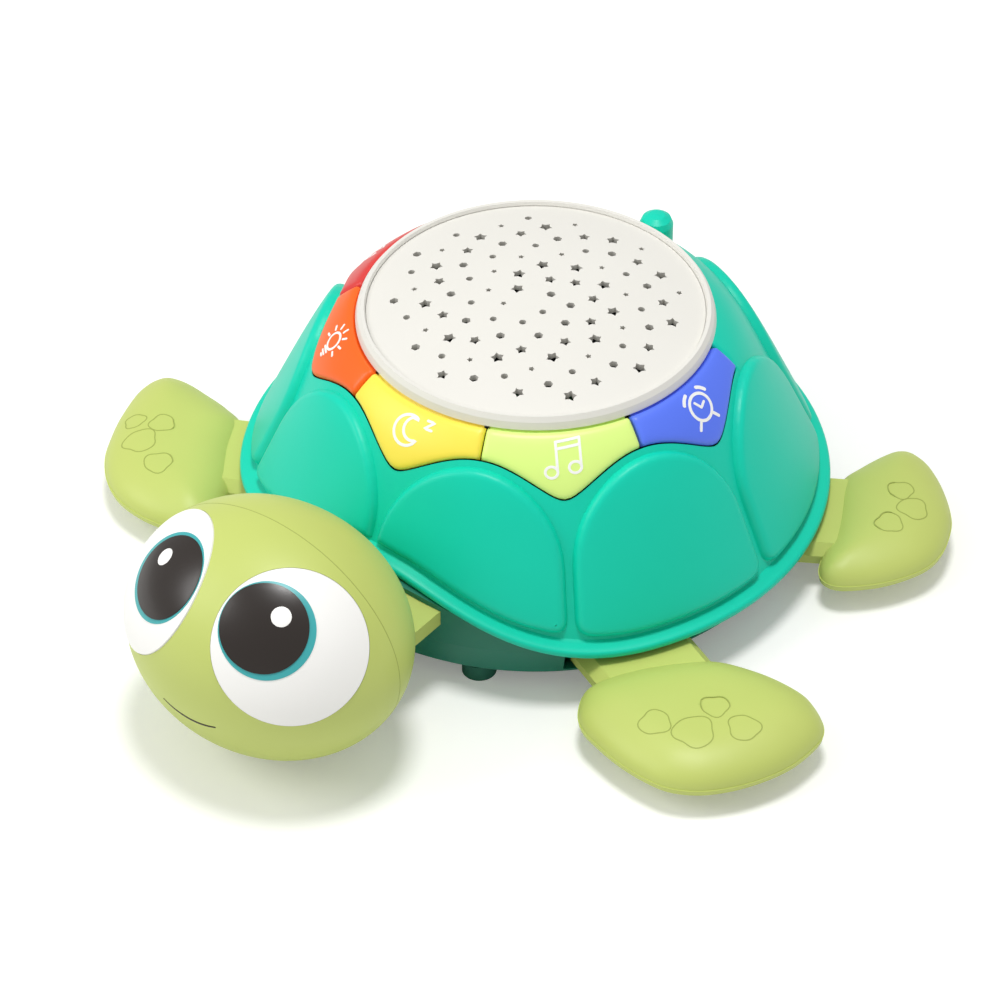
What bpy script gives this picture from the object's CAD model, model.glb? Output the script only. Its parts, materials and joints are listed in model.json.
from contextlib import contextmanager

import bmesh
import bpy
import json
import math
import numpy as np
from mathutils import Matrix, Vector
from mathutils.bvhtree import BVHTree
from mathutils.geometry import delaunay_2d_cdt


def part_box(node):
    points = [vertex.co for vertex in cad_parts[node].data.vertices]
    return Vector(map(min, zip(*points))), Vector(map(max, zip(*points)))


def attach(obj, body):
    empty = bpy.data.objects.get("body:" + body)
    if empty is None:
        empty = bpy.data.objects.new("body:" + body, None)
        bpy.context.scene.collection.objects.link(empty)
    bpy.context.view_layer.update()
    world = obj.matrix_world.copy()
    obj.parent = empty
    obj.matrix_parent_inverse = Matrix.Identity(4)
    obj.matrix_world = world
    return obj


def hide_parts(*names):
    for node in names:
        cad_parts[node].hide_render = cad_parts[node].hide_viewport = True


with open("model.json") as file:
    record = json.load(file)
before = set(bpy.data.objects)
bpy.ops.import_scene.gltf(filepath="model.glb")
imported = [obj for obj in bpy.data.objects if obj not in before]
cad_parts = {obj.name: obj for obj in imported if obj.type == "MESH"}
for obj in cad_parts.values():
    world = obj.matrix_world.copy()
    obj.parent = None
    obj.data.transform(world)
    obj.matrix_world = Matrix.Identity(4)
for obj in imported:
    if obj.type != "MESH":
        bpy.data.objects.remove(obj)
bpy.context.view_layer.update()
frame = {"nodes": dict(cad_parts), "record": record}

# A sea turtle star projector: dome shell, star screen, five buttons, head and four flippers.
# Lengths are in millimetres and become metres where a mesh is made.

MM = 0.001

# Where the picture was taken from; the distance and shifts are in cap radii
AZIMUTH = math.radians(38.01)
ELEVATION = math.radians(40.69)
CAP_RADIUS = 52.0
CAP_LEVEL = 73.0
DISTANCE = 24.0
CAMERA_SIDE = 0.198
CAMERA_DROP = 1.025
FOCAL_PIXELS = 4336.5
PICTURE_SIZE = 1000
nodes = frame["nodes"]


# Colours and materials

def paint(red, green, blue):
    """Linear colour from screen values between 0 and 255."""
    def linear(value):
        share = value / 255
        return share / 12.92 if share <= 0.04045 else ((share + 0.055) / 1.055) ** 2.4
    return (linear(red), linear(green), linear(blue), 1.0)


def add_socket(group, name, direction, kind, start=None):
    socket = group.interface.new_socket(name=name, in_out=direction, socket_type=kind)
    if start is not None:
        socket.default_value = start
    return socket


def moulded_surface():
    """Node group for moulded plastic: drifting colour, uneven gloss and a fine grain."""
    group = bpy.data.node_groups.new("moulded_surface", "ShaderNodeTree")
    add_socket(group, "Pale", "INPUT", "NodeSocketColor", (0.8, 0.8, 0.8, 1))
    add_socket(group, "Deep", "INPUT", "NodeSocketColor", (0.7, 0.7, 0.7, 1))
    add_socket(group, "Gloss", "INPUT", "NodeSocketFloat", 0.4)
    add_socket(group, "Grain", "INPUT", "NodeSocketFloat", 2600.0)
    add_socket(group, "Depth", "INPUT", "NodeSocketFloat", 0.04)
    add_socket(group, "Color", "OUTPUT", "NodeSocketColor")
    add_socket(group, "Roughness", "OUTPUT", "NodeSocketFloat")
    add_socket(group, "Normal", "OUTPUT", "NodeSocketVector")
    tree = group.nodes
    link = group.links.new
    entry = tree.new("NodeGroupInput")
    leave = tree.new("NodeGroupOutput")
    place = tree.new("ShaderNodeTexCoord")
    cloud = tree.new("ShaderNodeTexNoise")
    cloud.inputs["Scale"].default_value = 22.0
    cloud.inputs["Detail"].default_value = 3.0
    mix = tree.new("ShaderNodeMix")
    mix.data_type = "RGBA"
    link(place.outputs["Object"], cloud.inputs["Vector"])
    link(cloud.outputs["Fac"], mix.inputs["Factor"])
    link(entry.outputs["Pale"], mix.inputs["A"])
    link(entry.outputs["Deep"], mix.inputs["B"])
    link(mix.outputs["Result"], leave.inputs["Color"])
    smear = tree.new("ShaderNodeTexNoise")
    smear.inputs["Scale"].default_value = 65.0
    smear.inputs["Detail"].default_value = 4.0
    link(place.outputs["Object"], smear.inputs["Vector"])
    spread = tree.new("ShaderNodeMapRange")
    spread.inputs["To Min"].default_value = -0.04
    spread.inputs["To Max"].default_value = 0.04
    link(smear.outputs["Fac"], spread.inputs["Value"])
    total = tree.new("ShaderNodeMath")
    total.operation = "ADD"
    link(entry.outputs["Gloss"], total.inputs[0])
    link(spread.outputs["Result"], total.inputs[1])
    link(total.outputs["Value"], leave.inputs["Roughness"])
    grain = tree.new("ShaderNodeTexNoise")
    grain.inputs["Detail"].default_value = 2.0
    link(place.outputs["Object"], grain.inputs["Vector"])
    link(entry.outputs["Grain"], grain.inputs["Scale"])
    bump = tree.new("ShaderNodeBump")
    bump.inputs["Distance"].default_value = 0.0002
    link(entry.outputs["Depth"], bump.inputs["Strength"])
    link(grain.outputs["Fac"], bump.inputs["Height"])
    link(bump.outputs["Normal"], leave.inputs["Normal"])
    return group


MOULDED = moulded_surface()


def plastic(name, pale, deep, gloss=0.42, depth=0.05, coat=0.0, grain=2600.0, shine=0.5):
    """Moulded plastic between two close colours."""
    material = bpy.data.materials.new(name)
    material.use_nodes = True
    tree = material.node_tree.nodes
    shader = tree["Principled BSDF"]
    surface = tree.new("ShaderNodeGroup")
    surface.node_tree = MOULDED
    surface.inputs["Pale"].default_value = paint(*pale)
    surface.inputs["Deep"].default_value = paint(*deep)
    surface.inputs["Gloss"].default_value = gloss
    surface.inputs["Grain"].default_value = grain
    surface.inputs["Depth"].default_value = depth
    link = material.node_tree.links.new
    link(surface.outputs["Color"], shader.inputs["Base Color"])
    link(surface.outputs["Roughness"], shader.inputs["Roughness"])
    link(surface.outputs["Normal"], shader.inputs["Normal"])
    shader.inputs["Coat Weight"].default_value = coat
    shader.inputs["Coat Roughness"].default_value = 0.18
    shader.inputs["IOR"].default_value = 1.5
    shader.inputs["Specular IOR Level"].default_value = shine
    material.diffuse_color = paint(*pale)
    return material


def metal(name, pale, deep, gloss):
    """Plated or brushed metal."""
    material = plastic(name, pale, deep, gloss, 0.08, 0.0, 1200.0)
    material.node_tree.nodes["Principled BSDF"].inputs["Metallic"].default_value = 1.0
    return material


LOOKS = {
    "shell": plastic("teal_moulding", (14, 216, 186), (4, 206, 175), 0.40, shine=0.28),
    "casing": plastic("dark_teal_moulding", (24, 128, 106), (18, 112, 92), 0.48),
    "cap": plastic("white_moulding", (232, 230, 223), (226, 224, 216), 0.46),
    "button_red": plastic("red_moulding", (222, 66, 62), (212, 56, 54), 0.38),
    "button_orange": plastic("orange_moulding", (254, 108, 22), (250, 99, 16), 0.38),
    "button_yellow": plastic("yellow_moulding", (255, 236, 86), (255, 230, 76), 0.38),
    "button_green": plastic("light_green_moulding", (228, 255, 143), (221, 254, 133), 0.38),
    "button_blue": plastic("blue_moulding", (94, 128, 252), (86, 118, 248), 0.38),
    "lime": plastic("lime_moulding", (202, 214, 117), (192, 205, 106), 0.46),
    "eye_white": plastic("eye_white_moulding", (255, 254, 250), (253, 252, 248), 0.35),
    "eye_iris": plastic("iris_moulding", (70, 180, 182), (58, 168, 172), 0.35),
    "eye_pupil": plastic("pupil_moulding", (44, 36, 31), (37, 30, 26), 0.30, 0.03, 0.2),
    "rubber": plastic("soft_feet", (34, 108, 90), (28, 98, 81), 0.75, 0.15),
    "board": plastic("circuit_board", (38, 104, 62), (28, 90, 52), 0.45),
    "black_part": plastic("black_moulding", (40, 40, 43), (30, 30, 33), 0.50),
    "lamp": plastic("lamp_resin", (246, 242, 214), (240, 234, 200), 0.12, 0.0, 0.5),
    "sign": plastic("sign_print", (252, 252, 250), (248, 248, 244), 0.5),
    "mouth_ink": plastic("mouth_ink", (58, 46, 34), (48, 38, 28), 0.5),
    "lime_groove": plastic("lime_groove", (166, 178, 86), (154, 166, 76), 0.6),
    "steel": metal("plated_steel", (205, 206, 210), (186, 188, 192), 0.26),
    "cell": plastic("cell_sleeve", (96, 100, 106), (84, 88, 94), 0.32),
    "paper": plastic("pressed_paper", (44, 43, 45), (34, 33, 35), 0.85, 0.3, 0.0, 900.0),
}


def dress(piece, look):
    piece.data.materials.clear()
    piece.data.materials.append(LOOKS[look])


for part in frame["record"]["subparts"]:
    dress(nodes[part["node"]], part["material_slot"])


# The valley surface of the dome: radius and level from the cap down to the rim

SHOULDER_RADIUS = 59.6
TIP_RADIUS = 66.4
VALLEY = (
    (47.0, 75.6),
    (52.0, 73.0),
    (SHOULDER_RADIUS, 66.3),
    (TIP_RADIUS, 55.2),
    (75.5, 36.0),
    (82.4, 20.5),
    (84.6, 15.0),
)
SPREAD = 70.0

# The rim's lower edge, level at the back and arched over the neck
ARCH_RISE = 18.2
ARCH_FLAT = 2.0
ARCH_REACH = 72.0
RIM_LOW = 16.0
RIM_HEIGHT = 5.0
RIM_RADIUS = 83.0


def spline_table(points, samples=400):
    """Smooth curve through points, as travelled length with radius and level at each sample."""
    points = np.array(points, float)
    knots = np.concatenate([[0], np.cumsum(np.hypot(*np.diff(points, axis=0).T))])
    count = len(points)
    step = np.diff(knots)
    matrix = np.eye(count)
    right = np.zeros((count, 2))
    for i in range(1, count - 1):
        matrix[i, i - 1:i + 2] = (step[i - 1], 2 * (step[i - 1] + step[i]), step[i])
        slope = (points[i + 1] - points[i]) / step[i] - (points[i] - points[i - 1]) / step[i - 1]
        right[i] = 6 * slope
    bend = np.linalg.solve(matrix, right)
    travel = np.linspace(0, knots[-1], samples)
    place = np.clip(np.searchsorted(knots, travel, side="right") - 1, 0, count - 2)
    low = knots[place]
    span = step[place]
    back = ((low + span - travel) / span)[:, None]
    ahead = ((travel - low) / span)[:, None]
    bulge = (back ** 3 - back) * bend[place] + (ahead ** 3 - ahead) * bend[place + 1]
    curve = back * points[place] + ahead * points[place + 1] + bulge * (span ** 2)[:, None] / 6
    length = np.concatenate([[0], np.cumsum(np.hypot(*np.diff(curve, axis=0).T))])
    return length, curve[:, 0], curve[:, 1]


RUN, RADII, LEVELS = spline_table(VALLEY)


def run_at_radius(radius):
    return float(np.interp(radius, RADII, RUN))


def run_at_level(level):
    return float(np.interp(-level, -LEVELS, RUN))


def on_dome(angle, run, lift=0.0):
    """Point in millimetres at an angle from the front, a run down the valley and a lift off it."""
    radius = np.interp(run, RUN, RADII)
    level = np.interp(run, RUN, LEVELS)
    ahead_r = np.interp(run + 0.5, RUN, RADII) - np.interp(run - 0.5, RUN, RADII)
    ahead_z = np.interp(run + 0.5, RUN, LEVELS) - np.interp(run - 0.5, RUN, LEVELS)
    size = math.hypot(ahead_r, ahead_z)
    radius += lift * -ahead_z / size
    level += lift * ahead_r / size
    return Vector((radius * math.sin(angle), -radius * math.cos(angle), level))


def arch(x):
    """Level of the rim's lower edge over the neck, at a distance from the middle."""
    reach = min(max((abs(x) - ARCH_FLAT) / (ARCH_REACH - ARCH_FLAT), 0.0), 1.0)
    return RIM_LOW + ARCH_RISE * math.cos(reach * math.pi / 2) ** 2


def rim_level(angle):
    """Level of the rim's lower edge at an angle from the front."""
    if abs(math.remainder(angle, 2 * math.pi)) > math.pi / 2:
        return RIM_LOW
    return arch(RIM_RADIUS * math.sin(angle))


# Flat outlines on the dome: across is the angle times SPREAD, down is the run

CORNER_STEPS = 7


def rounded(corners, radii):
    """Closed outline with each corner rounded to its radius."""
    points = []
    count = len(corners)
    for i in range(count):
        corner = Vector(corners[i])
        before = Vector(corners[i - 1]) - corner
        after = Vector(corners[(i + 1) % count]) - corner
        if radii[i] <= 0:
            points.append(corner)
            continue
        half = before.angle(after) / 2
        reach = min(radii[i] / math.tan(half), before.length * 0.49, after.length * 0.49)
        start = corner + before.normalized() * reach
        end = corner + after.normalized() * reach
        for step in range(CORNER_STEPS + 1):
            t = step / CORNER_STEPS
            points.append(start * (1 - t) ** 2 + corner * 2 * t * (1 - t) + end * t ** 2)
    return points


def resampled(points, pitch):
    """Closed outline with about even steps."""
    ring = [Vector(p) for p in points]
    result = []
    for i, point in enumerate(ring):
        after = ring[(i + 1) % len(ring)]
        parts = max(1, int(round((after - point).length / pitch)))
        for step in range(parts):
            result.append(point.lerp(after, step / parts))
    return result


def moved_in(points, distance):
    """Outline moved in along its own normals, for an outline that runs anticlockwise."""
    result = []
    count = len(points)
    for i in range(count):
        tangent = points[(i + 1) % count] - points[i - 1]
        normal = Vector((-tangent.y, tangent.x))
        normal.normalize()
        result.append(points[i] + normal * distance)
    return result


def edge_distance(spot, outline):
    """Distance of a point from a closed outline."""
    nearest = 1e9
    for a, b in zip(outline, outline[1:] + outline[:1]):
        run = b - a
        share = max(0.0, min(1.0, (spot - a).dot(run) / max(run.length_squared, 1e-9)))
        nearest = min(nearest, (spot - a - run * share).length)
    return nearest


def inner_ring(points, distance):
    """Outline moved inwards, without the points that fold over in tight corners."""
    if not distance:
        return points
    return [p for p in moved_in(points, distance) if edge_distance(p, points) > 0.96 * distance]


def signed_area(points):
    return sum(points[i - 1].x * p.y - p.x * points[i - 1].y for i, p in enumerate(points)) / 2


def anticlockwise(points):
    return points if signed_area(points) > 0 else points[::-1]


def inside(point, outline):
    """True where a point lies inside a closed outline."""
    hit = False
    j = len(outline) - 1
    for i in range(len(outline)):
        a = outline[i]
        b = outline[j]
        if (a.y > point[1]) != (b.y > point[1]):
            if point[0] < (b.x - a.x) * (point[1] - a.y) / (b.y - a.y) + a.x:
                hit = not hit
        j = i
    return hit


def near(point, outline, limit):
    """True where a point lies closer to an outline's points than the limit."""
    pairs = np.array([(p.x, p.y) for p in outline])
    return float(((pairs - np.array(point)) ** 2).sum(1).min()) < limit * limit


def add_rings(outline, loops, verts, lifts, edges):
    """Adds rings inside an outline, each an (inset, lift) pair, and returns the innermost one."""
    for inset, lift in loops:
        ring = inner_ring(outline, inset)
        start = len(verts)
        verts.extend(ring)
        lifts.extend([lift] * len(ring))
        edges.extend((start + i, start + (i + 1) % len(ring)) for i in range(len(ring)))
    return ring


ROW_SHARE = 0.87
CLEAR_SHARE = 0.6


def grid_spots(outline, pitch):
    """Staggered rows of points over the box around an outline."""
    left = min(p.x for p in outline)
    right = max(p.x for p in outline)
    bottom = max(p.y for p in outline)
    row = 0
    y = min(p.y for p in outline)
    while y < bottom:
        x = left + (row % 2) * pitch / 2
        while x < right:
            yield x, y
            x += pitch
        y += pitch * ROW_SHARE
        row += 1


def triangles(verts, edges, lifts, lift_inside, outline):
    """Triangles between points, with each new point's lift, kept where they lie inside the outline."""
    out = delaunay_2d_cdt([v.to_2d() for v in verts], edges, [], 0, 1e-6)
    coords, faces, origins = out[0], out[2], out[3]
    new_lifts = [lifts[origin[0]] if origin else lift_inside for origin in origins]
    kept = []
    for face in faces:
        middle = sum((coords[i] for i in face), Vector((0, 0))) / len(face)
        if inside(middle, outline):
            kept.append(tuple(face))
    return coords, new_lifts, kept


def patch(outline, loops, pitch, lift_inside):
    """Flat mesh inside an outline: points, the lift of each, and triangles.

    loops is a list of (inset, lift) rings inside the outline."""
    outline = anticlockwise(resampled(outline, pitch * 0.5))
    verts = []
    lifts = []
    edges = []
    last = add_rings(outline, loops, verts, lifts, edges)
    for spot in grid_spots(last, pitch):
        if inside(spot, last) and not near(spot, last, pitch * CLEAR_SHARE):
            verts.append(Vector(spot))
            lifts.append(lift_inside)
    return triangles(verts, edges, lifts, lift_inside, outline)


# Pieces: open surfaces that get a wall, with sharp edges marked

@contextmanager
def edited(piece):
    """Mesh of a piece opened for editing and written back at the end."""
    work = bmesh.new()
    work.from_mesh(piece.data)
    yield work
    work.to_mesh(piece.data)
    work.free()


def mesh_piece(name, verts, faces, look):
    """Object from vertices in millimetres."""
    mesh = bpy.data.meshes.new(name)
    mesh.from_pydata([Vector(v) * MM for v in verts], [], faces)
    mesh.update()
    for polygon in mesh.polygons:
        polygon.use_smooth = True
    piece = bpy.data.objects.new(name, mesh)
    bpy.context.scene.collection.objects.link(piece)
    mesh.materials.append(LOOKS[look])
    return piece


MERGE_GAP = 0.04


def face_outwards(piece, middle=Vector((0, 0, 20))):
    """Turns every face of an open surface away from a middle point."""
    with edited(piece) as work:
        bmesh.ops.remove_doubles(work, verts=work.verts, dist=MERGE_GAP * MM)
        for face in work.faces:
            face.normal_update()
            if face.normal.dot(face.calc_center_median() - middle * MM) < 0:
                face.normal_flip()


def open_border(piece, level):
    """Numbers of the vertices on the open edges above a level."""
    work = bmesh.new()
    work.from_mesh(piece.data)
    border = [v.index for v in work.verts if v.is_boundary and v.co.z > level * MM]
    work.free()
    return border


def thicken(piece, depth, upright=()):
    """Gives an open surface a wall inwards; under the upright vertices it is cut straight down."""
    count = len(piece.data.vertices)
    wall = piece.modifiers.new("wall", "SOLIDIFY")
    wall.thickness = depth * MM
    wall.offset = -1.0
    wall.use_quality_normals = True
    graph = bpy.context.evaluated_depsgraph_get()
    mesh = bpy.data.meshes.new_from_object(piece.evaluated_get(graph))
    piece.modifiers.clear()
    piece.data = mesh
    for index in upright:
        outer = mesh.vertices[index].co
        inner = mesh.vertices[count + index].co
        inner.xy = outer.xy
        inner.z = min(inner.z, outer.z - depth * MM)
    mark_corners(piece)


def mark_corners(piece, limit=38.0):
    """Smooth shading with sharp edges where the surface turns hard."""
    with edited(piece) as work:
        for edge in work.edges:
            if len(edge.link_faces) == 2:
                edge.smooth = edge.calc_face_angle(0) < math.radians(limit)
        for face in work.faces:
            face.smooth = True


# Shell with its petals and rim

WALL = 2.2
WINDOW_WALL_LEVEL = 50.0
SHELL_PITCH = 2.4
SHELL_CLEAR = 1.3
COLUMNS = 44
PETALS = 8
PETAL_TURN = 2 * math.pi / PETALS
PETAL_GAP = 2.0
PETAL_TOP_GAP = 1.9
PETAL_FOOT_GAP = 0.7
PETAL_BULGE = 16.5
PETAL_CORNER = 8.0
PETAL_RISE = 2.4
PETAL_EDGE = ((0.0, 0.0), (0.28, 0.75), (0.75, 1.55), (1.3, 2.08), (2.0, 2.34), (2.8, PETAL_RISE))
BUTTON_TURN = math.pi / 4
WINDOW_HALF = math.radians(112.5)
TIP_ROUND = 0.13
BORDER_POWER = 0.92
TIP_RUN = run_at_radius(TIP_RADIUS)
SHOULDER_RUN = run_at_radius(SHOULDER_RADIUS)
CAP_RUN = run_at_radius(49.4)

# Section of the rim: (share, drop) across the band, then (inset, drop) and (inset, height) round the bead
RIM_BAND = ((0.0, 0.0), (0.14, 0.25), (0.34, 0.45), (0.6, 0.65))
BEAD_TOP = ((1.0, 0.85), (0.5, 1.05), (0.15, 1.4), (0.0, 1.9))
BEAD_FOOT = ((0.0, 1.1), (0.25, 0.45), (0.9, 0.0))
RIM_FILLET = 1.4
RIM_OUT = 4.0


def border_run(angle):
    """Run at which the shell starts: under the cap ring, or along the border of the buttons."""
    wrapped = math.remainder(angle, 2 * math.pi)
    if abs(wrapped) > WINDOW_HALF + 1e-6:
        return CAP_RUN
    share = abs(math.remainder(wrapped, BUTTON_TURN)) / (BUTTON_TURN / 2)
    blend = math.sqrt(share * share + TIP_ROUND * TIP_ROUND)
    curve = math.sin(min(blend, 1.0) * math.pi / 2) ** BORDER_POWER
    return TIP_RUN + (SHOULDER_RUN - TIP_RUN) * curve


def foot_run(angle):
    """Run at which the dome meets the rim's band."""
    return run_at_level(rim_level(angle) + RIM_HEIGHT - RIM_FILLET)


def petal_outline(middle):
    """Petal on the dome: straight sides, a bulged top and round lower corners."""
    half = PETAL_TURN / 2
    top = SHOULDER_RUN + PETAL_TOP_GAP
    bulge = TIP_RUN + PETAL_BULGE

    def side(run):
        return half * SPREAD - PETAL_GAP / 2 * SPREAD / np.interp(run, RUN, RADII)

    points = []
    steps = 22
    for step in range(steps + 1):
        turn = math.pi * step / steps
        points.append(Vector((side(bulge) * math.cos(turn), bulge - (bulge - top) * math.sin(turn))))
    low = []
    foot_steps = 10
    for step in range(foot_steps + 1):
        share = -1 + 2 * step / foot_steps
        angle = middle + share * (half * SPREAD - PETAL_GAP / 2) / SPREAD
        down = foot_run(angle) - PETAL_FOOT_GAP
        low.append(Vector((side(down) * share, down)))
    foot = low[2:-2]
    left = rounded([points[-1], low[0], foot[0]], [0, PETAL_CORNER, 0])[1:-1]
    right = rounded([foot[-1], low[-1], points[0]], [0, PETAL_CORNER, 0])[1:-1]
    return points + left + foot + right


def side_runs(top, bottom):
    """Runs of the points on the side that two petals share; the same for both of them."""
    grid = [SHOULDER_RUN + SHELL_PITCH * step for step in range(-8, 60)]
    return [run for run in grid if top + 0.6 < run < bottom - 0.6]


def petal_sector(middle):
    """Surface of one eighth of the shell, as points in millimetres and faces."""
    half = PETAL_TURN / 2
    sector = []
    for step in range(COLUMNS + 1):
        across = -half + PETAL_TURN * step / COLUMNS
        sector.append(Vector((across * SPREAD, border_run(middle + across))))
    foot = []
    for step in range(COLUMNS, -1, -1):
        across = -half + PETAL_TURN * step / COLUMNS
        foot.append(Vector((across * SPREAD, foot_run(middle + across))))
    right_side = [Vector((half * SPREAD, run)) for run in side_runs(sector[-1].y, foot[0].y)]
    left_side = [Vector((-half * SPREAD, run)) for run in side_runs(sector[0].y, foot[-1].y)]
    sector += right_side + foot + left_side[::-1]
    petal = anticlockwise(resampled(petal_outline(middle), SHELL_PITCH * 0.42))
    verts = list(sector)
    lifts = [0.0] * len(sector)
    edges = [(i, (i + 1) % len(sector)) for i in range(len(sector))]
    last = add_rings(petal, PETAL_EDGE, verts, lifts, edges)
    for spot in grid_spots(sector, SHELL_PITCH):
        if inside(spot, last):
            if not near(spot, last, SHELL_PITCH * CLEAR_SHARE):
                verts.append(Vector(spot))
                lifts.append(PETAL_RISE)
        elif inside(spot, sector) and not inside(spot, petal):
            if not near(spot, petal, SHELL_CLEAR) and not near(spot, sector, SHELL_CLEAR):
                verts.append(Vector(spot))
                lifts.append(0.0)
    coords, lifts, faces = triangles(verts, edges, lifts, 0.0, sector)
    placed = [on_dome(middle + spot.x / SPREAD, spot.y, lift) for spot, lift in zip(coords, lifts)]
    return placed, faces


def rim_profile(angle):
    """Rim section from the valley outwards: sloped band, round bead and lower edge."""
    low = rim_level(angle)
    valley = on_dome(0.0, foot_run(angle))
    radius = -valley.y
    level = valley.z
    out = np.interp(run_at_level(low + 2.0), RUN, RADII) + RIM_OUT
    points = [(radius + (out - radius) * share, level - drop) for share, drop in RIM_BAND]
    points += [(out - inset, level - drop) for inset, drop in BEAD_TOP]
    points += [(out - inset, low + height) for inset, height in BEAD_FOOT]
    return [Vector((r * math.sin(angle), -r * math.cos(angle), z)) for r, z in points]


def turtle_shell():
    """Dome with eight petals and the rim, as one walled piece."""
    verts = []
    faces = []
    for number in range(PETALS):
        middle = PETAL_TURN * (number + 0.5)
        placed, kept = petal_sector(middle)
        start = len(verts)
        verts.extend(placed)
        faces.extend(tuple(start + i for i in face) for face in kept)
    columns = PETALS * COLUMNS
    start = len(verts)
    for column in range(columns):
        verts.extend(rim_profile(2 * math.pi * column / columns))
    rows = len(RIM_BAND) + len(BEAD_TOP) + len(BEAD_FOOT)
    for column in range(columns):
        a = start + column * rows
        b = start + ((column + 1) % columns) * rows
        for row in range(rows - 1):
            faces.append((a + row, b + row, b + row + 1, a + row + 1))
    shell = mesh_piece("turtle_shell", verts, faces, "shell")
    face_outwards(shell)
    thicken(shell, WALL, open_border(shell, WINDOW_WALL_LEVEL))
    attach(shell, "body")
    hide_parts("upper_shell")


turtle_shell()


# Buttons: pillowed caps in the star-shaped window

BUTTONS = (("red", -2), ("orange", -1), ("yellow", 0), ("green", 1), ("blue", 2))
BUTTON_GAP = 0.35
BUTTON_LIFT = 1.0
BUTTON_WALL = 1.7
BUTTON_EDGE = ((0.0, -0.9), (0.06, -0.2), (0.3, 0.3), (0.75, 0.68), (1.4, 0.9), (2.2, BUTTON_LIFT))
BUTTON_PITCH = 1.9
BUTTON_INNER = run_at_radius(52.5)
STEM_RADIUS = 57.5
STEM_WIDE = 2.5
STEM_FOOT = 53.4
STEM_TOP = 66.4


def button_outline(middle):
    """Flat outline of one cap: the star-shaped border below and the cap ring above."""
    points = []
    steps = 30
    side = BUTTON_TURN / 2 - BUTTON_GAP / 2 / SHOULDER_RADIUS
    for step in range(steps + 1):
        across = -side + 2 * side * step / steps
        points.append(Vector((across * SPREAD, border_run(middle + across) - BUTTON_GAP)))
    upper = []
    for step in range(9):
        across = side - 2 * side * step / 8
        upper.append(Vector((across * SPREAD, BUTTON_INNER)))
    return points + upper


def add_stem(button, middle):
    """Adds the round stem under a cap, down to the switch."""
    place = Vector((math.sin(middle), -math.cos(middle), 0)) * STEM_RADIUS
    place.z = (STEM_FOOT + STEM_TOP) / 2
    with edited(button) as work:
        bmesh.ops.create_cone(
            work,
            cap_ends=True,
            segments=32,
            radius1=STEM_WIDE * MM,
            radius2=STEM_WIDE * MM,
            depth=(STEM_TOP - STEM_FOOT) * MM,
            matrix=Matrix.Translation(place * MM),
        )
    mark_corners(button)


def press_button(colour, place):
    """Pillowed cap of one button with its stem."""
    middle = place * BUTTON_TURN
    coords, lifts, faces = patch(button_outline(middle), BUTTON_EDGE, BUTTON_PITCH, BUTTON_LIFT)
    placed = [on_dome(middle + spot.x / SPREAD, spot.y, lift) for spot, lift in zip(coords, lifts)]
    button = mesh_piece("cap_" + colour, placed, faces, "button_" + colour)
    face_outwards(button)
    thicken(button, BUTTON_WALL)
    add_stem(button, middle)
    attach(button, "button_" + colour)
    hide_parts("button_" + colour)


for colour, place in BUTTONS:
    press_button(colour, place)


# Printed signs on the buttons: strokes that follow the cap's surface

SIGN_RUN = run_at_radius(58.2)
SIGN_LIFT = BUTTON_LIFT + 0.10

# Each sign below is a list of (points, stroke width, closed)


def ribbon(points, width, closed=False):
    """Flat strip along a line with round ends: vertices and faces in the plane."""
    line = [Vector(p) for p in points]
    count = len(line)
    verts = []
    faces = []
    for i, point in enumerate(line):
        before = line[i - 1] if closed or i else point
        after = line[(i + 1) % count] if closed or i < count - 1 else point
        tangent = (after - before).normalized()
        normal = Vector((-tangent.y, tangent.x)) * width / 2
        verts.extend((point + normal, point - normal))
    last = count if closed else count - 1
    for i in range(last):
        a = 2 * i
        b = 2 * ((i + 1) % count)
        faces.append((a, a + 1, b + 1, b))
    if not closed:
        for place, ahead in ((0, line[0] - line[1]), (count - 1, line[-1] - line[-2])):
            heading = math.atan2(ahead.y, ahead.x)
            fan = [2 * place] if place else [2 * place + 1]
            other = 2 * place + 1 if place else 2 * place
            for step in range(1, 6):
                turn = heading + math.pi / 2 - math.pi * step / 6
                verts.append(line[place] + Vector((math.cos(turn), math.sin(turn))) * width / 2)
                fan.append(len(verts) - 1)
            fan.append(other)
            faces.append(tuple(fan))
    return verts, faces


def ring_points(x, y, across, down, steps=36, start=0.0, sweep=2 * math.pi):
    """Points on an ellipse, or on a part of it."""
    full = abs(sweep - 2 * math.pi) < 1e-6
    last = steps if full else steps + 1
    return [
        (x + across * math.cos(start + sweep * i / steps), y + down * math.sin(start + sweep * i / steps))
        for i in range(last)
    ]


def straight(start, end, parts=6):
    """Points on a straight line."""
    return [Vector(start).lerp(Vector(end), i / parts) for i in range(parts + 1)]


def moon_sign():
    outer = ring_points(0, 0, 4.3, 4.3, 26, math.radians(-60), math.radians(-258))
    inner = ring_points(1.9, -1.0, 3.3, 3.3, 18, math.radians(42), math.radians(206))
    crescent = outer + inner[1:-1]
    zigzag = straight((4.6, -4.6), (6.9, -4.6), 3) + straight((6.9, -4.6), (4.6, -2.3), 3)[1:]
    zigzag += straight((4.6, -2.3), (6.9, -2.3), 3)[1:]
    return [(crescent, 0.85, True), (zigzag, 0.75, False)]


def note_sign():
    left = ring_points(-3.4, 3.9, 1.75, 1.55, 20)
    right = ring_points(3.3, 2.9, 1.75, 1.55, 20)
    return [
        (left, 0.75, True),
        (right, 0.75, True),
        (straight((-1.7, 3.7), (-1.7, -4.3)), 0.75, False),
        (straight((4.95, 2.8), (4.95, -5.1)), 0.75, False),
        (straight((-1.7, -4.3), (4.95, -5.1)), 0.8, False),
        (straight((-1.7, -2.4), (4.95, -3.2)), 0.8, False),
    ]


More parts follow.
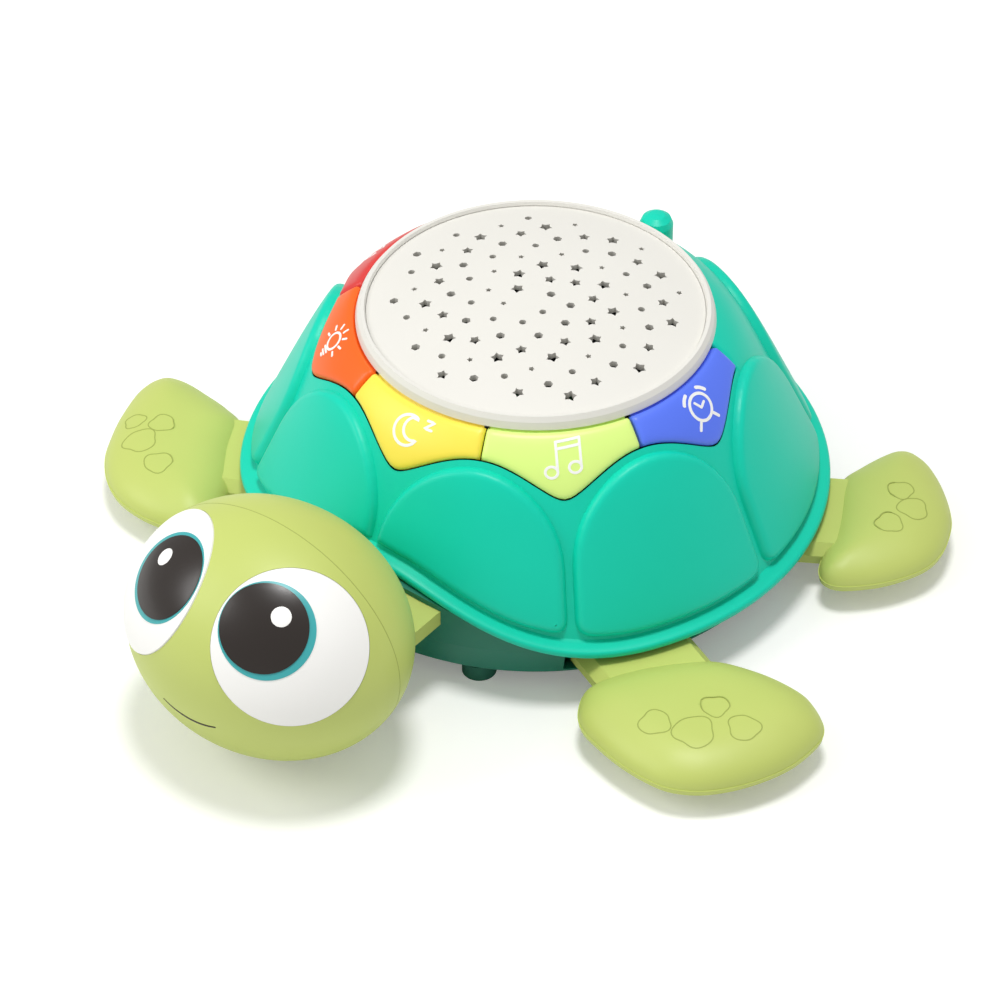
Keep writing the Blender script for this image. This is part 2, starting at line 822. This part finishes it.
def clock_sign():
    signs = [
        (ring_points(0, 0, 3.9, 3.9), 0.9, True),
        (straight((0, 0.2), (-1.3, -1.9)), 0.75, False),
        (straight((0, 0.2), (1.9, -0.7)), 0.75, False),
    ]
    for side in (-1, 1):
        bell = ring_points(0, 0, 5.6, 5.6, 8, math.radians(-90 + side * 26), math.radians(side * 32))
        signs.append((bell, 1.0, False))
        foot = straight((side * 2.9, 3.6), (side * 4.2, 5.3), 3)
        signs.append((foot, 0.9, False))
    return signs


def lamp_sign():
    signs = [(ring_points(0, -0.6, 2.7, 2.7), 0.75, True)]
    for number in range(7):
        turn = math.radians(-90 + (number - 3) * 36)
        ray = [(math.cos(turn) * r, -0.6 + math.sin(turn) * r) for r in (4.0, 4.7, 5.4)]
        signs.append((ray, 0.7, False))
    for level, half in ((2.9, 1.5), (4.1, 1.1), (5.1, 0.5)):
        signs.append((straight((-half, level), (half, level), 3), 0.7, False))
    return signs


def sound_sign():
    horn = straight((-4.2, -1.4), (-2.2, -1.4), 3) + straight((-2.2, -1.4), (0.4, -3.6), 4)[1:]
    horn += straight((0.4, -3.6), (0.4, 3.6), 5)[1:] + straight((0.4, 3.6), (-2.2, 1.4), 4)[1:]
    horn += straight((-2.2, 1.4), (-4.2, 1.4), 3)[1:] + straight((-4.2, 1.4), (-4.2, -1.4), 3)[1:-1]
    signs = [(horn, 0.75, True)]
    for radius in (2.2, 4.0):
        wave = ring_points(1.0, 0, radius, radius, 10, math.radians(-48), math.radians(96))
        signs.append((wave, 0.75, False))
    return signs


SIGNS = {"red": sound_sign, "orange": lamp_sign, "yellow": moon_sign, "green": note_sign, "blue": clock_sign}


def print_sign(colour, place):
    """White sign on a button, a hair proud of its face."""
    middle = place * BUTTON_TURN
    verts = []
    faces = []
    for points, width, closed in SIGNS[colour]():
        flat, strips = ribbon(points, width, closed)
        start = len(verts)
        for spot in flat:
            run = SIGN_RUN + spot[1]
            radius = float(np.interp(run, RUN, RADII))
            verts.append(on_dome(middle + spot[0] / radius, run, SIGN_LIFT))
        faces.extend(tuple(start + i for i in strip) for strip in strips)
    sign = mesh_piece("sign_" + colour, verts, faces, "sign")
    face_outwards(sign)
    thicken(sign, 0.2)
    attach(sign, "button_" + colour)


for colour, place in BUTTONS:
    print_sign(colour, place)


# Head: white glints on the pupils, a dark smile and the parting line

HEAD_CENTRE = Vector((0.0, -120.2, 38.0))
HEAD_HALF = (43.0, 35.8, 35.5)
SEAM_Y = -115.5
SEAM_HALF = 0.12
INK_LIFT = 0.03
MOUTH_HALF = 9.4
MOUTH_LOW = 29.15
MOUTH_LIFT = 1.5
MOUTH_WIDTH = 0.36


def on_head(point, lift):
    """Point on the head's surface, raised by a lift, on the line from the head's centre."""
    away = Vector(point) - HEAD_CENTRE
    reach = math.sqrt(sum((away[i] / (HEAD_HALF[i] + lift)) ** 2 for i in range(3)))
    return HEAD_CENTRE + away / reach


def head_normal(point):
    away = Vector(point) - HEAD_CENTRE
    return Vector([away[i] / HEAD_HALF[i] ** 2 for i in range(3)]).normalized()


def glint(name, place, across, tall, lift=0.82):
    """White oval on a pupil, as rings round a middle point."""
    middle = on_head(place, 0)
    normal = head_normal(middle)
    side = Vector((0, 0, 1)).cross(normal).normalized()
    rise = normal.cross(side)
    verts = [on_head(middle, lift)]
    faces = []
    rings = 4
    steps = 32
    for ring in range(1, rings + 1):
        for step in range(steps):
            turn = 2 * math.pi * step / steps
            spread = ring / rings
            flat = side * across * spread * math.cos(turn) + rise * tall * spread * math.sin(turn)
            drop = 0.1 if ring == rings else 0.0
            verts.append(on_head(middle + flat, lift - drop))
    for step in range(steps):
        after = (step + 1) % steps
        faces.append((0, 1 + step, 1 + after))
        for ring in range(rings - 1):
            a = 1 + ring * steps
            b = a + steps
            faces.append((a + step, b + step, b + after, a + after))
    spot = mesh_piece(name, verts, faces, "eye_white")
    face_outwards(spot, HEAD_CENTRE)
    thicken(spot, 0.25)
    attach(spot, "head")


glint("glint_right", (19.7, -137.2, 64.7), 3.0, 3.0)
glint("glint_left", (-20.8, -137.4, 63.9), 2.7, 2.9)


def smile():
    """Dark line in the groove of the mouth."""
    steps = 40
    verts = []
    faces = []
    for step in range(steps + 1):
        share = -1 + 2 * step / steps
        z = MOUTH_LOW + MOUTH_LIFT * share * share
        width = MOUTH_WIDTH * (1 - 0.75 * abs(share) ** 3)
        for shift in (-width, width):
            verts.append(on_head((MOUTH_HALF * share, -154.0, z + shift), INK_LIFT))
    for step in range(steps):
        a = 2 * step
        faces.append((a, a + 1, a + 3, a + 2))
    line = mesh_piece("smile", verts, faces, "mouth_ink")
    face_outwards(line, HEAD_CENTRE)
    thicken(line, 0.3)
    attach(line, "head")


smile()


def head_seam():
    """Fine parting line where the two halves of the head meet."""
    half_x, half_y, half_z = HEAD_HALF
    share = math.sqrt(1 - ((SEAM_Y - HEAD_CENTRE.y) / half_y) ** 2)
    steps = 120
    verts = []
    faces = []
    for step in range(steps):
        turn = 2 * math.pi * step / steps
        x = half_x * share * math.cos(turn)
        z = HEAD_CENTRE.z + half_z * share * math.sin(turn)
        for shift in (-SEAM_HALF, SEAM_HALF):
            verts.append(on_head((x, SEAM_Y + shift, z), INK_LIFT))
    for step in range(steps):
        a = 2 * step
        b = 2 * ((step + 1) % steps)
        faces.append((a, a + 1, b + 1, b))
    seam = mesh_piece("head_seam", verts, faces, "lime_groove")
    face_outwards(seam, HEAD_CENTRE)
    thicken(seam, 0.2)
    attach(seam, "head")


head_seam()


# Flippers: domed covers on flat lower halves, each with its arm and pivot ring

FAR_BELOW = Vector((0, 0, -2000))
LIP = 10.0
LIP_STEP = 0.25
OUTLINE_PITCH = 1.2
COVER_PITCH = 2.4
COVER_WALL = 1.8
COVER_INSETS = (0.0, 0.25, 0.9, 1.9, 3.3)
COVER_RISE = 7.0
COVER_REACH = 14
CROWN_RISE = 1.4
CROWN_REACH = 26
PLATE = ((2.8, 7.0), (1.2, 7.3), (0.3, 8.3), (0.0, LIP))
ARM_LOW = 8.6
ARM_HIGH = 14.4
ARM_CHAMFER = 3.0
ARM_START = 8.0
EYE_RADIUS = 9.0
EYE_BORE = 4.06

# Each blade: its pivot, its centre, half the arm's width, and the outline seen from above
BLADES = {
    "front_right": ((54.0, -36.0), (99.8, -55.7), 16.5, (
        (71.7, -73.3), (68.3, -67.7), (67.5, -63.2), (69.8, -55.7), (75.9, -46.1), (84.0, -36.9),
        (89.5, -32.4), (96.3, -29.7), (106.9, -27.7), (117.5, -28.0), (124.9, -31.3), (129.3, -35.5),
        (130.8, -40.8), (130.2, -50.9), (127.3, -59.9), (122.5, -68.6), (116.0, -75.9), (108.3, -80.3),
        (100.2, -81.3), (90.8, -80.6), (82.0, -78.6), (76.0, -76.6),
    )),
    "front_left": ((-54.0, -36.0), (-92.4, -55.6), 16.5, (
        (-83.0, -35.2), (-91.9, -31.9), (-101.0, -30.6), (-109.6, -30.0), (-116.2, -31.8), (-119.2, -36.6),
        (-119.4, -43.7), (-116.2, -54.5), (-112.1, -63.6), (-107.4, -71.3), (-100.6, -78.0), (-92.8, -82.2),
        (-84.7, -83.8), (-76.3, -83.5), (-67.0, -80.5), (-63.0, -73.0), (-67.0, -60.4), (-76.2, -46.6),
    )),
    "rear_right": ((58.0, 26.0), (93.2, 47.4), 17.5, (
        (72.4, 55.1), (73.3, 61.6), (75.4, 70.2), (78.1, 75.8), (82.8, 78.2), (89.7, 76.7),
        (97.8, 71.4), (105.1, 64.4), (109.6, 58.2), (113.1, 49.2), (113.7, 41.3), (111.6, 34.0),
        (107.4, 26.4), (102.0, 20.2), (97.5, 16.7), (93.2, 16.0), (89.8, 18.3), (87.3, 23.0),
        (85.0, 29.5), (82.0, 35.6), (78.9, 41.1), (74.9, 48.3),
    )),
}


def turned_blade(blade, place, pivot, turn):
    """The same blade mirrored to the other side, at its own place and angle."""
    centre = Vector(blade[1])
    outline = []
    for spot in blade[3]:
        away = Vector(spot) - centre
        x = place[0] + away.x * math.cos(turn) - away.y * math.sin(turn)
        y = place[1] + away.x * math.sin(turn) + away.y * math.cos(turn)
        outline.append((-x, y))
    return (-pivot[0], pivot[1]), (-place[0], place[1]), blade[2], tuple(outline)


REAR_LEFT_TURN = math.radians(31.5)
BLADES["rear_left"] = turned_blade(BLADES["rear_right"], (69.0, 82.0), (58.0, 26.0), REAR_LEFT_TURN)


def flowing(points, parts=6):
    """Closed curve through the given points."""
    total = len(points)
    curve = []
    for number in range(total):
        near_points = [Vector(points[(number + shift) % total]) for shift in (-1, 0, 1, 2)]
        before, start, end, after = near_points
        for part in range(parts):
            t = part / parts
            curve.append(0.5 * (
                2 * start
                + (end - before) * t
                + (2 * before - 5 * start + 4 * end - after) * t * t
                + (3 * start - before - 3 * end + after) * t * t * t
            ))
    return curve


def blade_outline(name):
    return anticlockwise(resampled(flowing(BLADES[name][3]), OUTLINE_PITCH))


def flipper_cover(name):
    """Domed cover whose height follows the distance from its outline."""
    outline = moved_in(blade_outline(name), LIP_STEP)
    loops = [(inset, 0.0) for inset in COVER_INSETS]
    coords, lifts, faces = patch(outline, loops, COVER_PITCH, 0.0)
    placed = []
    for spot in coords:
        depth = edge_distance(spot, outline)
        share = min(depth / COVER_REACH, 1.0)
        lift = COVER_RISE * math.sqrt(1 - (1 - share) ** 2)
        lift += CROWN_RISE * math.sin(min(depth / CROWN_REACH, 1.0) * math.pi / 2)
        placed.append(Vector((spot.x, spot.y, LIP + lift)))
    cover = mesh_piece("cover_" + name, placed, faces, "lime")
    face_outwards(cover, FAR_BELOW)
    thicken(cover, COVER_WALL)
    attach(cover, "flipper_" + name)
    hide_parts("flipper_top_" + name)
    return cover


def stack(rings):
    """Closed solid from rings of points, each as (points, level), bottom ring first."""
    verts = []
    faces = []
    count = len(rings[0][0])
    for points, level in rings:
        verts.extend(Vector((p.x, p.y, level)) for p in points)
    for row in range(len(rings) - 1):
        for number in range(count):
            a = row * count + number
            b = row * count + (number + 1) % count
            faces.append((a, b, b + count, a + count))
    faces.append(tuple(reversed(range(count))))
    faces.append(tuple(range(len(verts) - count, len(verts))))
    return verts, faces


def joined(solids):
    """Vertices and faces of several solids as one list each."""
    verts = []
    faces = []
    for own_verts, own_faces in solids:
        start = len(verts)
        verts.extend(own_verts)
        faces.extend(tuple(start + i for i in face) for face in own_faces)
    return verts, faces


def bar(pivot, along, start, end, section):
    """Bar along a line from the pivot, with a section of (side, level) points."""
    across = Vector((-along.y, along.x))
    verts = []
    for reach in (start, end):
        for side, level in section:
            spot = pivot + along * reach + across * side
            verts.append(Vector((spot.x, spot.y, level)))
    count = len(section)
    sides = [(i, (i + 1) % count, (i + 1) % count + count, i + count) for i in range(count)]
    return verts, sides + [tuple(reversed(range(count))), tuple(range(count, 2 * count))]


def pivot_eye(pivot):
    """Ring round the pivot pin."""
    section = ((EYE_BORE, ARM_LOW), (EYE_RADIUS, ARM_LOW), (EYE_RADIUS, ARM_HIGH), (EYE_BORE, ARM_HIGH))
    verts = []
    faces = []
    steps = 48
    for step in range(steps):
        turn = 2 * math.pi * step / steps
        for radius, level in section:
            x = pivot.x + radius * math.cos(turn)
            y = pivot.y + radius * math.sin(turn)
            verts.append(Vector((x, y, level)))
        here = 4 * step
        there = 4 * ((step + 1) % steps)
        for corner in range(4):
            after = (corner + 1) % 4
            faces.append((here + corner, there + corner, there + after, here + after))
    return verts, faces


def flipper_lower(name):
    """Flat lower half with its arm, web and pivot ring."""
    pivot, centre, half = BLADES[name][:3]
    pivot = Vector(pivot)
    run = Vector(centre) - pivot
    along = run.normalized()
    outline = blade_outline(name)
    plate = stack([(moved_in(outline, inset), level) for inset, level in PLATE])
    arm = bar(pivot, along, ARM_START, run.length, (
        (-half, ARM_LOW),
        (half, ARM_LOW),
        (half, ARM_HIGH - ARM_CHAMFER),
        (half - ARM_CHAMFER, ARM_HIGH),
        (ARM_CHAMFER - half, ARM_HIGH),
        (-half, ARM_HIGH - ARM_CHAMFER),
    ))
    web = bar(pivot, along, EYE_BORE + 1.5, ARM_START + 2, (
        (-EYE_RADIUS, ARM_LOW),
        (EYE_RADIUS, ARM_LOW),
        (EYE_RADIUS, ARM_HIGH),
        (-EYE_RADIUS, ARM_HIGH),
    ))
    verts, faces = joined((plate, arm, web, pivot_eye(pivot)))
    lower = mesh_piece("lower_" + name, verts, faces, "lime")
    with edited(lower) as work:
        bmesh.ops.recalc_face_normals(work, faces=work.faces)
    mark_corners(lower, 30.0)
    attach(lower, "flipper_" + name)
    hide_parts("flipper_base_" + name)


COVERS = {}
for name in BLADES:
    COVERS[name] = flipper_cover(name)
    flipper_lower(name)


# Engraved blobs on the flippers, found through the camera so that they sit on the covers

def camera_frame():
    """Place of the camera and its right, up and backward directions."""
    back = Vector((
        math.sin(AZIMUTH) * math.cos(ELEVATION),
        -math.cos(AZIMUTH) * math.cos(ELEVATION),
        math.sin(ELEVATION),
    ))
    right = Vector((math.cos(AZIMUTH), math.sin(AZIMUTH), 0))
    up = back.cross(right)
    place = CAP_RADIUS * (DISTANCE * back - CAMERA_SIDE * right - CAMERA_DROP * up)
    place += Vector((0, 0, CAP_LEVEL))
    return place, right, up, back


def tree_of(piece):
    mesh = piece.data
    spots = [v.co / MM for v in mesh.vertices]
    return BVHTree.FromPolygons(spots, [tuple(p.vertices) for p in mesh.polygons])


def seen_spot(tree, column, row):
    """Where a pixel of the picture meets a surface."""
    place, right, up, back = camera_frame()
    half = PICTURE_SIZE / 2
    ray = right * (column - half) / FOCAL_PIXELS + up * (half - row) / FOCAL_PIXELS - back
    return tree.ray_cast(place, ray.normalized())[0]


GROOVE_WIDTH = 0.34
GROOVE_LIFT = 0.05


def blob(tree, middle, size, phase):
    """Groove line of one rounded blob, laid on the cover under it."""
    steps = 44
    points = []
    for step in range(steps):
        turn = 2 * math.pi * step / steps
        radius = size * (1 + 0.09 * math.cos(3 * turn + phase) + 0.04 * math.cos(5 * turn - phase))
        points.append(middle.xy + Vector((math.cos(turn), math.sin(turn))) * radius)
    flat, strips = ribbon(points, GROOVE_WIDTH, True)
    verts = []
    for spot in flat:
        hit = tree.ray_cast(Vector((spot.x, spot.y, 60)), Vector((0, 0, -1)))[0]
        level = hit.z if hit else middle.z
        verts.append(Vector((spot.x, spot.y, level + GROOVE_LIFT)))
    return verts, strips


# Blobs as (column, row, size): the place in the picture and the radius in millimetres
MARKS = {
    "front_right": ((655, 722, 4.4), (694, 731, 5.7), (715, 706, 4.0), (744, 727, 4.5)),
    "front_left": ((162, 423, 3.8), (140, 440, 5.0), (158, 462, 4.2), (135, 421, 3.2)),
    "rear_right": ((889, 522, 4.0), (913, 508, 4.4), (901, 490, 3.8)),
}


def flipper_marks(name, spots):
    """All blobs of one flipper, as one piece."""
    tree = tree_of(COVERS[name])
    verts = []
    faces = []
    for number, (middle, size) in enumerate(spots):
        placed, strips = blob(tree, middle, size, number * 1.3)
        start = len(verts)
        verts.extend(placed)
        faces.extend(tuple(start + i for i in strip) for strip in strips)
    marks = mesh_piece("marks_" + name, verts, faces, "lime_groove")
    face_outwards(marks)
    thicken(marks, 0.15)
    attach(marks, "flipper_" + name)


for name, pixels in MARKS.items():
    tree = tree_of(COVERS[name])
    found = [(seen_spot(tree, column, row), size) for column, row, size in pixels]
    flipper_marks(name, [(spot, size) for spot, size in found if spot])

# The rear left flipper isn't seen, so its blobs keep to the middle of its cover
low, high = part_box("flipper_top_rear_left")
hidden_middle = (low + high) / 2 / MM
hidden_spots = [
    (hidden_middle + Vector(shift), size)
    for shift, size in (((-8, -3, 8), 4.0), ((0, 2, 8), 4.4), ((7, -3, 8), 3.8))
]
flipper_marks("rear_left", hidden_spots)


# Floor, light and camera

FLOOR_LIFT = 0.20
WORLD_LEVEL = 0.44
SENSOR = 36.0


def floor():
    """Pale floor that the camera sees a little brighter than it is lit."""
    bpy.ops.mesh.primitive_plane_add(size=6.0, location=(0, 0, 0))
    plane = bpy.context.object
    plane.name = "floor"
    material = bpy.data.materials.new("pale_floor")
    material.use_nodes = True
    tree = material.node_tree.nodes
    link = material.node_tree.links.new
    shader = tree["Principled BSDF"]
    shader.inputs["Base Color"].default_value = (0.90, 0.90, 0.885, 1)
    shader.inputs["Roughness"].default_value = 0.9
    shader.inputs["Specular IOR Level"].default_value = 0.1
    path = tree.new("ShaderNodeLightPath")
    lift = tree.new("ShaderNodeMath")
    lift.operation = "MULTIPLY"
    lift.inputs[1].default_value = FLOOR_LIFT
    link(path.outputs["Is Camera Ray"], lift.inputs[0])
    shader.inputs["Emission Color"].default_value = (1.0, 1.0, 0.985, 1)
    link(lift.outputs["Value"], shader.inputs["Emission Strength"])
    plane.data.materials.append(material)


def studio_world():
    """White surroundings, dimmer as a light than as a background."""
    world = bpy.data.worlds.new("studio")
    bpy.context.scene.world = world
    world.use_nodes = True
    tree = world.node_tree.nodes
    link = world.node_tree.links.new
    ground = tree["Background"]
    ground.inputs["Color"].default_value = (1, 1, 1, 1)
    path = tree.new("ShaderNodeLightPath")
    seen = tree.new("ShaderNodeMath")
    seen.operation = "MAXIMUM"
    link(path.outputs["Is Camera Ray"], seen.inputs[0])
    link(path.outputs["Is Transmission Ray"], seen.inputs[1])
    level = tree.new("ShaderNodeMapRange")
    level.inputs["To Min"].default_value = WORLD_LEVEL
    level.inputs["To Max"].default_value = 1.0
    link(seen.outputs["Value"], level.inputs["Value"])
    link(level.outputs["Result"], ground.inputs["Strength"])


def soft_lamp(name, place, width, watts):
    """Round lamp at a place in metres, aimed at the toy."""
    data = bpy.data.lights.new(name, "AREA")
    data.shape = "DISK"
    data.size = width
    data.energy = watts
    lamp = bpy.data.objects.new(name, data)
    lamp.location = place
    lamp.rotation_euler = (-Vector(place)).to_track_quat("-Z", "Y").to_euler()
    bpy.context.scene.collection.objects.link(lamp)


def photo_camera():
    """Camera that sees the toy as the picture does."""
    place, right, up, back = camera_frame()
    data = bpy.data.cameras.new("photo_camera")
    data.sensor_width = SENSOR
    data.lens = FOCAL_PIXELS * SENSOR / PICTURE_SIZE
    data.clip_start = 0.05
    data.clip_end = 50.0
    camera = bpy.data.objects.new("photo_camera", data)
    turn = Matrix((right, up, back)).transposed()
    camera.matrix_world = Matrix.Translation(place * MM) @ turn.to_4x4()
    bpy.context.scene.collection.objects.link(camera)
    bpy.context.scene.camera = camera


floor()
studio_world()
soft_lamp("key_lamp", (0.06, -0.04, 1.6), 0.42, 13.5)
soft_lamp("fill_lamp", (-0.9, -1.0, 1.1), 1.0, 9.0)
photo_camera()
bpy.context.scene.view_settings.view_transform = "Standard"
